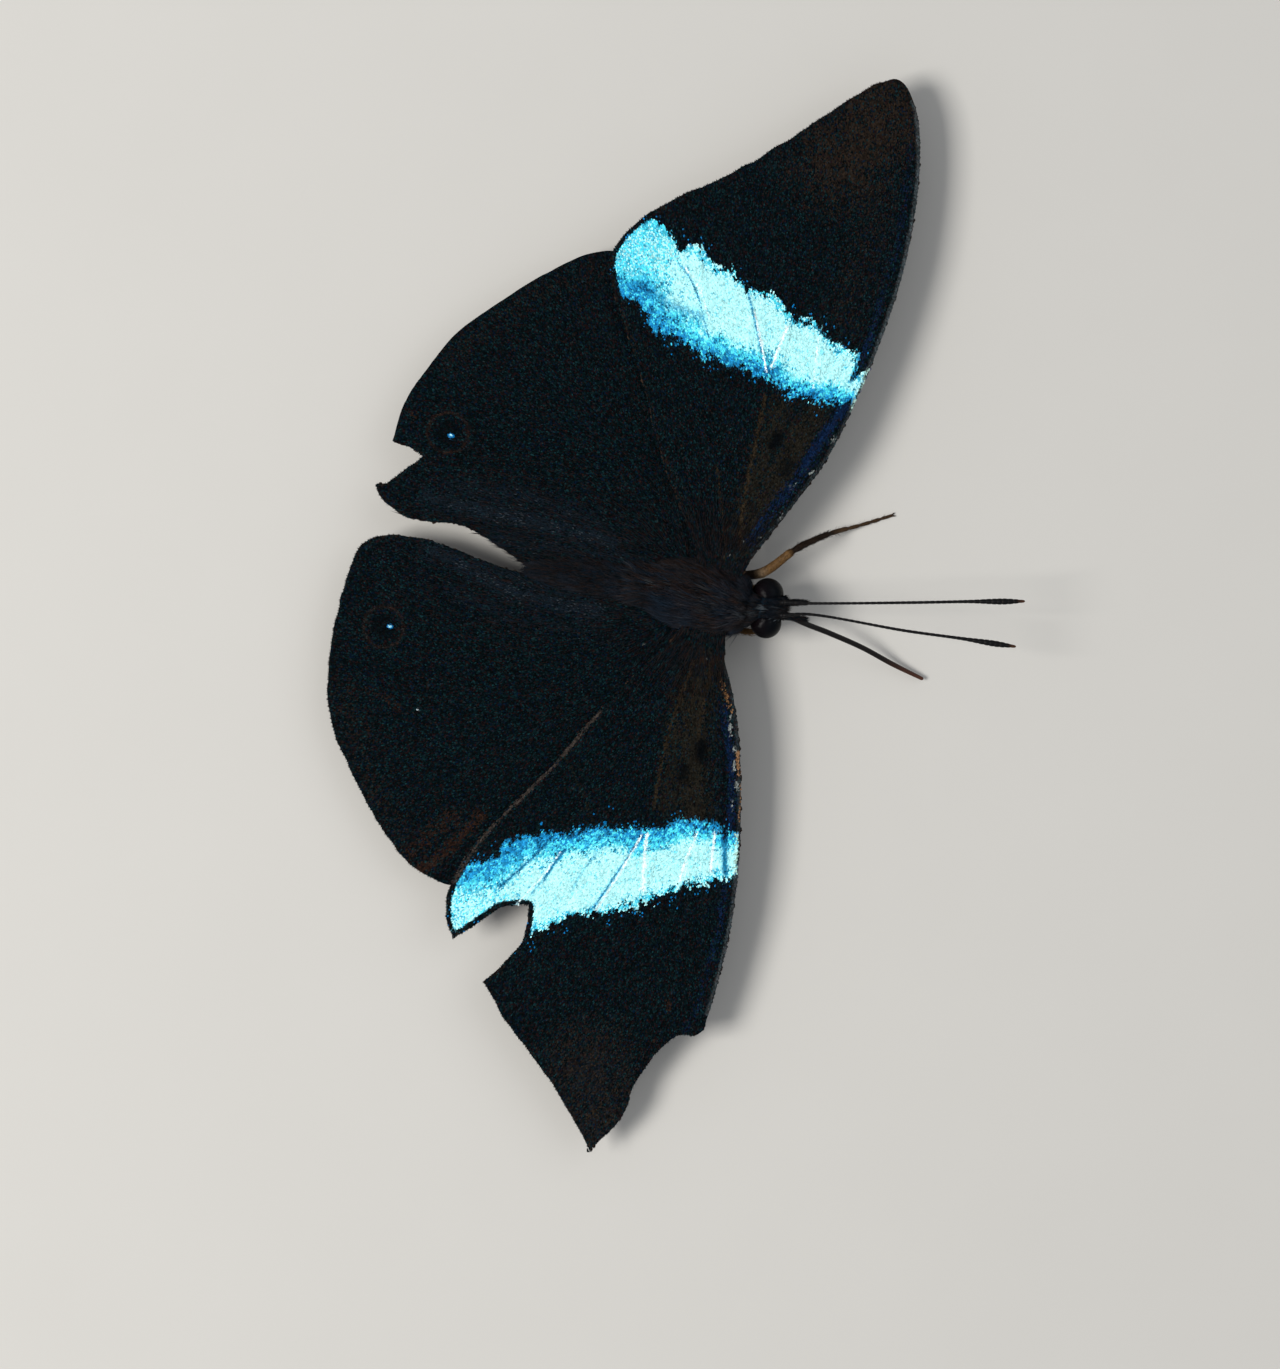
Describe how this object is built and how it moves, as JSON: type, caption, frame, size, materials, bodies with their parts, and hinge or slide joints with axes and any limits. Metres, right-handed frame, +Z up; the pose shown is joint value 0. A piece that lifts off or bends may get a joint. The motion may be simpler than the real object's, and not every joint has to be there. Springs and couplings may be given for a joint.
{
  "type": "amnosia decora butterfly",
  "caption": "Life-size dark butterfly feeding with its wings spread flat: pale blue band across each forewing, worn wing edges, clubbed feelers and a lowered proboscis.",
  "frame": {"origin": "floor level, at the middle of the box round the whole butterfly", "axes": "+X towards the butterfly's left wings, -Y towards its head, +Z up from the floor that it stands on"},
  "size_m": [0.0932, 0.0556, 0.008],
  "materials": {
    "wing_scales": "velvety dark scales",
    "body_fur": "short dark brown hair",
    "eye": "glossy faceted",
    "antenna_shell": "fine rings",
    "leg_shell": "satin with scales",
    "proboscis_shell": "satin"
  },
  "bodies": {
    "root": {"thorax": "body_fur", "abdomen": "body_fur", "head": "body_fur", "eye_left": "eye", "eye_right": "eye", "antenna_left": "antenna_shell", "antenna_right": "antenna_shell", "palp_left": "body_fur", "palp_right": "body_fur", "proboscis": "proboscis_shell", "forewing_left": "wing_scales", "forewing_right": "wing_scales", "hindwing_left": "wing_scales", "hindwing_right": "wing_scales", "leg_mid_left": "leg_shell", "leg_mid_right": "leg_shell", "leg_hind_left": "leg_shell", "leg_hind_right": "leg_shell", "foreleg_left": "leg_shell", "foreleg_right": "leg_shell"}
  },
  "joints": []
}
